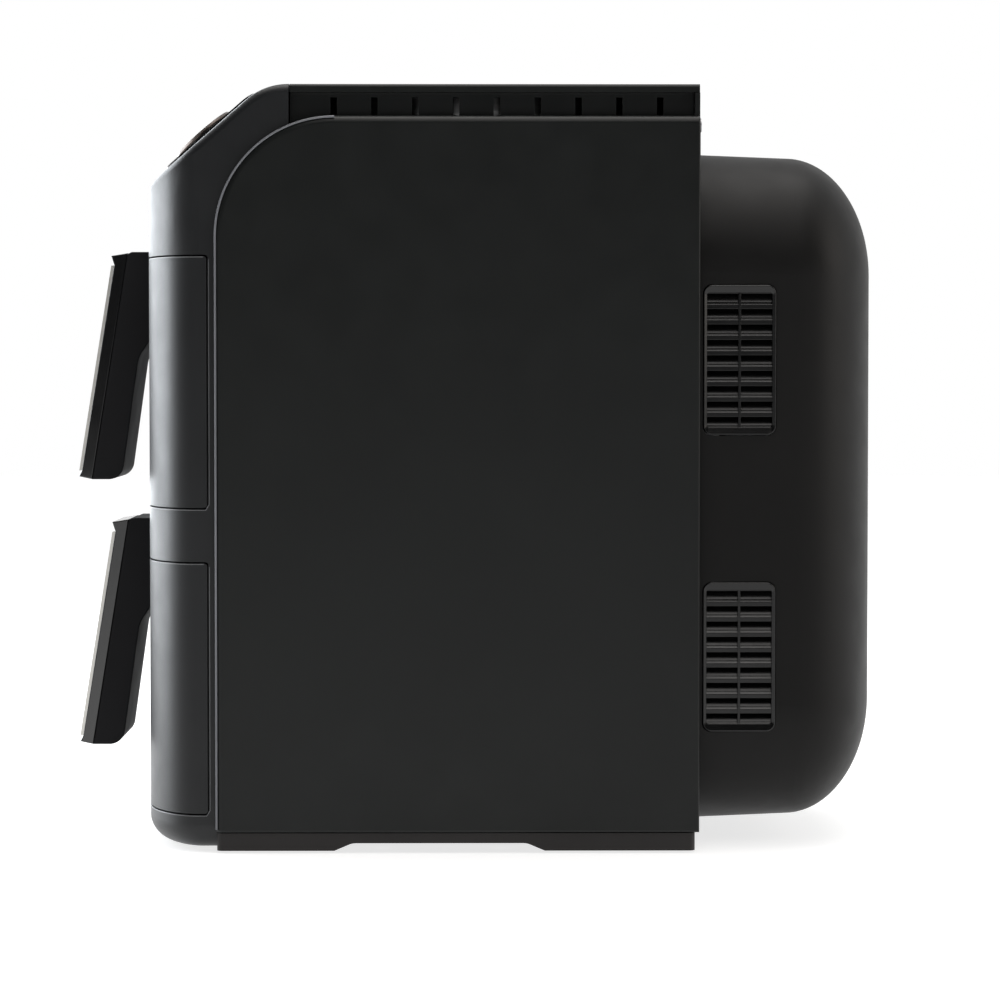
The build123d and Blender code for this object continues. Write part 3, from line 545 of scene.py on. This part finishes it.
def make_panel_edges():
    """Fine rounded lip along the front edge and arched shoulder of each side panel, pale-coloured as a
    painted highlight.
    """
    low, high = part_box("side_panel_right")
    front, top = low.y + PANEL_LIP_INSET, PANEL_TOP - PANEL_LIP_INSET
    outline = [(front, low.z + PANEL_FOOT)]
    for k in range(37):
        angle = radians(90 * k / 36)
        outline.append((front + PANEL_BEND * (1 - cos(angle)), top + PANEL_BEND * (sin(angle) - 1)))
    for side, sign in SIDES.items():
        name = f"painted_panel_highlight_{side}"
        line = [Vector((sign * (high.x - PANEL_LIP_INSET), y, z)) for y, z in outline]
        new_piece(name, wire_mesh(name, [(line, False)], PANEL_LIP_R), "painted_panel_highlight", "cabinet")


# ---------------------------------------------------------------- bent wire racks

def wire_mesh(name, lines, radius):
    """Mesh of round wires along (points, closed) polylines."""
    data = bpy.data.curves.new(name, "CURVE")
    data.dimensions = "3D"
    data.bevel_depth = radius
    data.bevel_resolution = 4
    data.use_fill_caps = True
    for points, closed in lines:
        spline = data.splines.new("POLY")
        spline.points.add(len(points) - 1)
        for target, point in zip(spline.points, points):
            target.co = (*point, 1)
        spline.use_cyclic_u = closed
    path = bpy.data.objects.new(name, data)
    mesh = bpy.data.meshes.new_from_object(path)
    bpy.data.objects.remove(path)
    for polygon in mesh.polygons:
        polygon.use_smooth = True
    return mesh


def bend(points, radius, closed=False, steps=6):
    """Polyline with its corners replaced by arcs of the given reach."""
    count = len(points)
    bent = []
    for i, point in enumerate(points):
        here = Vector(point)
        if not closed and i in (0, count - 1):
            bent.append(here)
            continue
        before, after = Vector(points[i - 1]), Vector(points[(i + 1) % count])
        start = here + (before - here).normalized() * radius
        end = here + (after - here).normalized() * radius
        for k in range(steps + 1):
            t = k / steps
            bent.append(start * (1 - t) ** 2 + here * 2 * t * (1 - t) + end * t ** 2)
    return bent


WIRE_R = 1.6 * MM
RIM_BEND, LEG_BEND = 10 * MM, 6 * MM     # reach of the bends
CROSS_WIRES = 13
CROSS_MARGIN = 6 * MM            # first cross wire, from the rim
CROSS_OVERHANG = 0.8 * MM
LEG_INSET = 3.4 * MM
LEG_Y = ((-72 * MM, -106 * MM), (32 * MM, 66 * MM))      # top and foot of each leg frame
LEG_HOOK = 12 * MM               # leg's end, bent in under the deck
WELD = 0.2 * MM                  # leg's sink into the rim


def make_racks():
    """Chromed rack: closed rim, cross wires and two bent leg frames."""
    for level in LEVELS:
        node = f"{level}_meal_rack"
        low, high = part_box(node)
        x0, x1 = low.x + WIRE_R, high.x - WIRE_R
        y0, y1 = low.y + WIRE_R, high.y - WIRE_R
        deck, floor = high.z - 3 * WIRE_R, low.z + WIRE_R
        rim = [(x0, y0, deck), (x1, y0, deck), (x1, y1, deck), (x0, y1, deck)]
        lines = [(bend(rim, RIM_BEND, True), True)]
        for k in range(CROSS_WIRES):
            y = y0 + CROSS_MARGIN + k * (y1 - y0 - 2 * CROSS_MARGIN) / (CROSS_WIRES - 1)
            lines.append(([Vector((x0 - CROSS_OVERHANG, y, deck + 2 * WIRE_R)),
                           Vector((x1 + CROSS_OVERHANG, y, deck + 2 * WIRE_R))], False))
        leg_x, under = x1 - LEG_INSET, deck - WELD
        for top_y, foot_y in LEG_Y:
            inner = top_y + (LEG_HOOK if top_y < foot_y else -LEG_HOOK)
            hoop = [(-leg_x, inner, under), (-leg_x, top_y, under), (-leg_x, foot_y, floor),
                    (leg_x, foot_y, floor), (leg_x, top_y, under), (leg_x, inner, under)]
            lines.append((bend(hoop, LEG_BEND), False))
        name = f"{level}_wire_rack"
        new_piece(name, wire_mesh(name, lines, WIRE_R), "wire", f"{level}_rack", node)


make_dial()
make_grilles()
make_display()
make_key_symbols()
make_seam_lips()
make_panel_edges()
make_racks()


# ---------------------------------------------------------------- camera, floor and light

CAMERA_PLACE, CAMERA_TARGET = (1.85, 0.001, 0.2428), (0, 0.0154, 0.1720)
LENS, SENSOR = 125.3, 36.0
FLOOR_RADIUS, FLOOR_GLOW = 6.0, 0.75
SKY_FALL = (-0.25, 0.55)         # X of the directions between which the world's light falls
SKY_LIGHT = (0.85, 0.06)
COOL, WARM = (0.90, 0.95, 1.0), (1.0, 0.93, 0.86)
# name, place, target, (width, height) in metres, watts, colour
LIGHTS = (
    ("front_softbox", (-1.45, -0.95, 0.60), (0, -0.12, 0.2), (1.0, 1.6), 22, COOL),
    ("front_strip", (-0.70, -1.65, 0.50), (0.1, -0.12, 0.2), (0.9, 1.6), 34, COOL),
    ("top_softbox", (0.0, 0.1, 2.0), (0, 0.05, 0.2), (1.4, 1.8), 22, (1.0, 0.97, 0.94)),
    ("high_side_softbox", (1.1, 0.2, 1.7), (0.1, 0.12, 0.2), (0.8, 1.2), 7, (1.0, 0.97, 0.95)),
    ("rear_softbox", (0.4, 1.9, 0.9), (0, 0.15, 0.2), (1.0, 1.4), 10, WARM),
)


def aim(obj, target):
    """Turns a camera or a light towards a point."""
    obj.rotation_mode = "QUATERNION"
    obj.rotation_quaternion = (Vector(target) - obj.location).to_track_quat("-Z", "Y")


def make_camera():
    """Long lens, square on to the +X side."""
    camera = bpy.data.objects.new("camera", bpy.data.cameras.new("camera"))
    bpy.context.scene.collection.objects.link(camera)
    camera.data.sensor_width = SENSOR
    camera.data.lens = LENS
    camera.location = CAMERA_PLACE
    aim(camera, CAMERA_TARGET)
    bpy.context.scene.camera = camera


def softbox(name, location, target, size, power, colour):
    """Rectangular area light that the camera doesn't see."""
    data = bpy.data.lights.new(name, "AREA")
    data.shape = "RECTANGLE"
    data.size, data.size_y = size
    data.energy = power
    data.color = colour
    light = bpy.data.objects.new(name, data)
    bpy.context.scene.collection.objects.link(light)
    light.location = location
    light.visible_camera = False
    aim(light, target)


def make_floor():
    """Pale matte floor that stays near white in shadow."""
    mesh = bpy.data.meshes.new("floor")
    form = bmesh.new()
    bmesh.ops.create_circle(form, cap_ends=True, segments=96, radius=FLOOR_RADIUS)
    form.to_mesh(mesh)
    form.free()
    floor = bpy.data.objects.new("floor", mesh)
    bpy.context.scene.collection.objects.link(floor)
    surface = Surface("pale_floor", 0.7, spec=0.2)
    surface.colour((0.40, 0.40, 0.40), (0.44, 0.44, 0.44), surface.noise(3.0))
    surface.shader.inputs["Emission Color"].default_value = (1, 1, 1, 1)
    surface.shader.inputs["Emission Strength"].default_value = FLOOR_GLOW
    mesh.materials.append(surface.mat)


def make_world():
    """White to the eye; its light is bright in front, behind and above, and dark on the +X side."""
    world = bpy.data.worlds.new("studio")
    bpy.context.scene.world = world
    world.use_nodes = True
    tree = world.node_tree
    background = tree.nodes["Background"]
    background.inputs["Color"].default_value = (1, 1, 1, 1)
    coords = tree.nodes.new("ShaderNodeTexCoord")
    split = tree.nodes.new("ShaderNodeSeparateXYZ")
    fall = tree.nodes.new("ShaderNodeMapRange")
    fall.interpolation_type = "SMOOTHSTEP"
    fall.inputs["From Min"].default_value, fall.inputs["From Max"].default_value = SKY_FALL
    fall.inputs["To Min"].default_value, fall.inputs["To Max"].default_value = SKY_LIGHT
    seen = tree.nodes.new("ShaderNodeLightPath")
    mix = tree.nodes.new("ShaderNodeMix")
    mix.inputs["B"].default_value = 1.0
    tree.links.new(coords.outputs["Generated"], split.inputs["Vector"])
    tree.links.new(split.outputs["X"], fall.inputs["Value"])
    tree.links.new(fall.outputs["Result"], mix.inputs["A"])
    tree.links.new(seen.outputs["Is Camera Ray"], mix.inputs["Factor"])
    tree.links.new(mix.outputs["Result"], background.inputs["Strength"])
    bpy.context.scene.view_settings.view_transform = "Standard"


make_camera()
make_floor()
make_world()
for light in LIGHTS:
    softbox(*light)
